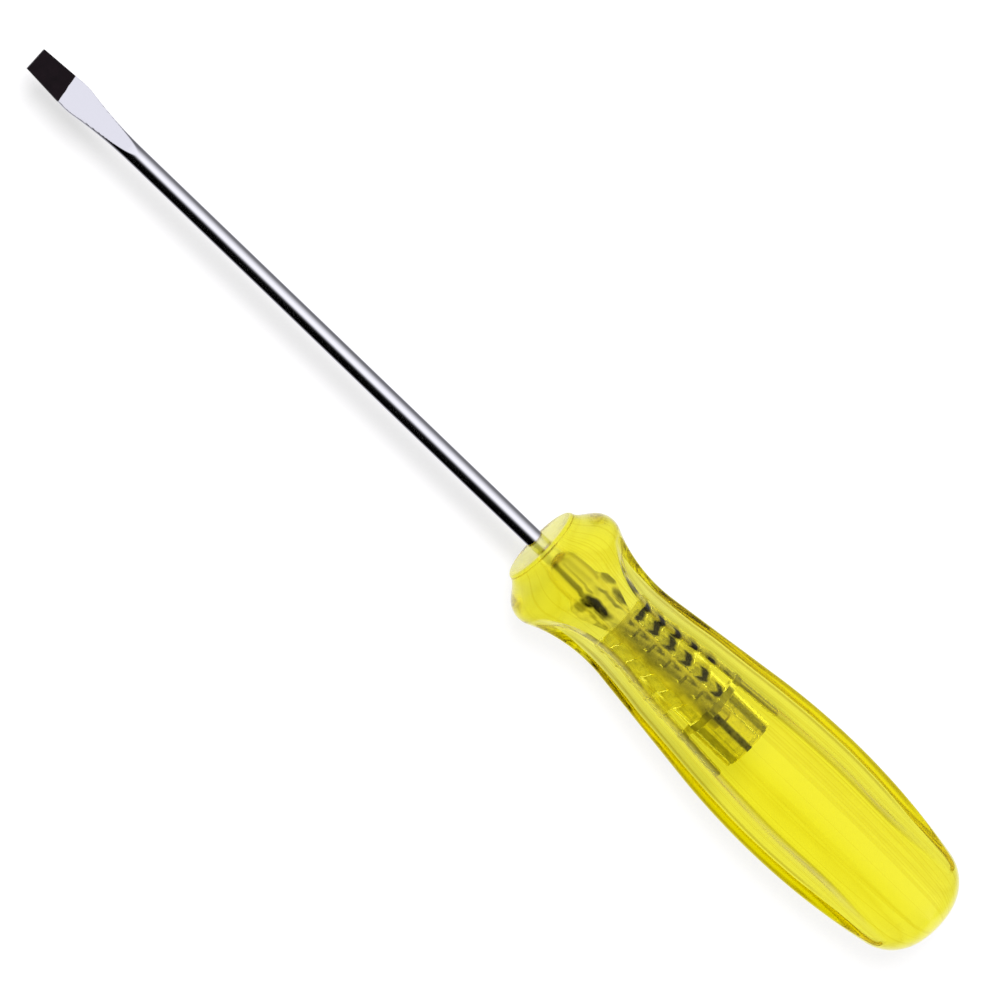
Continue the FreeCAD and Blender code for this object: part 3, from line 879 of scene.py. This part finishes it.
# ---------------------------------------------------------------- floor, light and camera
def build_floor():
    """A large pale floor under the tool."""
    mesh = bpy.data.meshes.new("floor")
    half = FLOOR_HALF_WIDTH
    corners = [(-half, -half, 0), (half, -half, 0), (half, half, 0), (-half, half, 0)]
    mesh.from_pydata(corners, [], [(0, 1, 2, 3)])
    floor = bpy.data.objects.new("floor", mesh)
    bpy.context.scene.collection.objects.link(floor)
    mesh.materials.append(pale_floor())
    floor.visible_glossy = False


def build_world():
    """A soft studio. Polished metal sees a broad light overhead and towards -Y, a dark side on +Y and a
    bright underside. Everything else sees a plain bright tent, which is also most of what shows through
    the clear handle."""
    world = bpy.data.worlds.new("studio")
    bpy.context.scene.world = world
    studio = Nodes(world, "ShaderNodeOutputWorld", "Generated")
    _, y, z = studio.parts_of_place()
    turn = studio.spread(studio.work("ARCTAN2", y, z), 0.0, 1.0, -math.pi, math.pi)
    ramp = studio.add("ShaderNodeValToRGB")
    studio.link(turn, ramp.inputs["Fac"])
    elements = ramp.color_ramp.elements
    while len(elements) < len(SKY):
        elements.new(0.5)
    for element, (angle, value) in zip(elements, SKY):
        element.position = (angle + 180) / 360
        element.color = (*(value * share for share in SKY_TINT), 1)
    rays = studio.add("ShaderNodeLightPath").outputs
    tent = studio.spread(rays["Diffuse Depth"], 1.0, TENT_AFTER_BOUNCE)
    through = studio.spread(rays["Is Transmission Ray"], 1.0, SKY_THROUGH_PLASTIC)
    mirrored = studio.work("MULTIPLY", rays["Is Glossy Ray"], through)
    glow = studio.add("ShaderNodeBackground")
    studio.link(studio.blend(mirrored, tent, ramp.outputs["Color"]), glow.inputs["Color"])
    studio.link(glow.outputs["Background"], studio.output.inputs["Surface"])


def build_key(name, energy, clear_pieces):
    """A broad key from the tip's side and -Y. The pieces listed as clear don't hold it back, and with none
    listed every piece does."""
    lamp = bpy.data.lights.new(name, "SUN")
    lamp.energy = energy
    lamp.angle = math.radians(KEY_SPREAD)
    key = bpy.data.objects.new(name, lamp)
    bpy.context.scene.collection.objects.link(key)
    key.rotation_mode = "QUATERNION"
    key.rotation_quaternion = Vector(KEY_DIRECTION).normalized().to_track_quat("Z", "Y")
    key.visible_glossy = False
    key.visible_transmission = False
    blockers = bpy.data.collections.new(name + "_blockers")
    for piece in clear_pieces:
        blockers.objects.link(piece)
    key.light_linking.blocker_collection = blockers
    for entry in blockers.collection_objects:
        entry.light_linking.link_state = "EXCLUDE"


def build_camera():
    """Looks down from the tip's side, with the tool lying across the picture's diagonal."""
    tilt = math.radians(CAMERA_TILT)
    diagonal = math.radians(CAMERA_DIAGONAL)
    back = Vector((math.sin(tilt), 0, math.cos(tilt)))
    along = (Vector((1, 0, 0)) - back * back.x).normalized()
    across = along.cross(back)
    right = -along * math.cos(diagonal) + across * math.sin(diagonal)
    up = along * math.sin(diagonal) + across * math.cos(diagonal)
    turn = Matrix((right, up, back)).transposed()
    camera_data = bpy.data.cameras.new("camera")
    camera_data.lens = CAMERA_LENS
    camera_data.clip_end = CAMERA_CLIP_END
    camera = bpy.data.objects.new("camera", camera_data)
    bpy.context.scene.collection.objects.link(camera)
    aim = Vector((TIP_X - CAMERA_AIM_STATION * MM, 0, AXIS_Z)) + across * CAMERA_AIM_ACROSS * MM
    distance = PICTURE_WIDTH * MM * camera_data.lens / camera_data.sensor_width
    camera.matrix_world = Matrix.Translation(aim + back * distance) @ turn.to_4x4()
    bpy.context.scene.camera = camera


handle = build_handle()
build_core()
build_blade()
build_floor()
build_world()
build_key("key", CLEAR_KEY_ENERGY, [handle])
build_key("key_blocked", BLOCKED_KEY_ENERGY, [])
build_camera()

scene = bpy.context.scene
scene.view_settings.view_transform = "Standard"
scene.cycles.max_bounces = 24
scene.cycles.transmission_bounces = 20
scene.cycles.glossy_bounces = 8
scene.cycles.transparent_max_bounces = 16
scene.cycles.caustics_refractive = True
scene.cycles.caustics_reflective = False
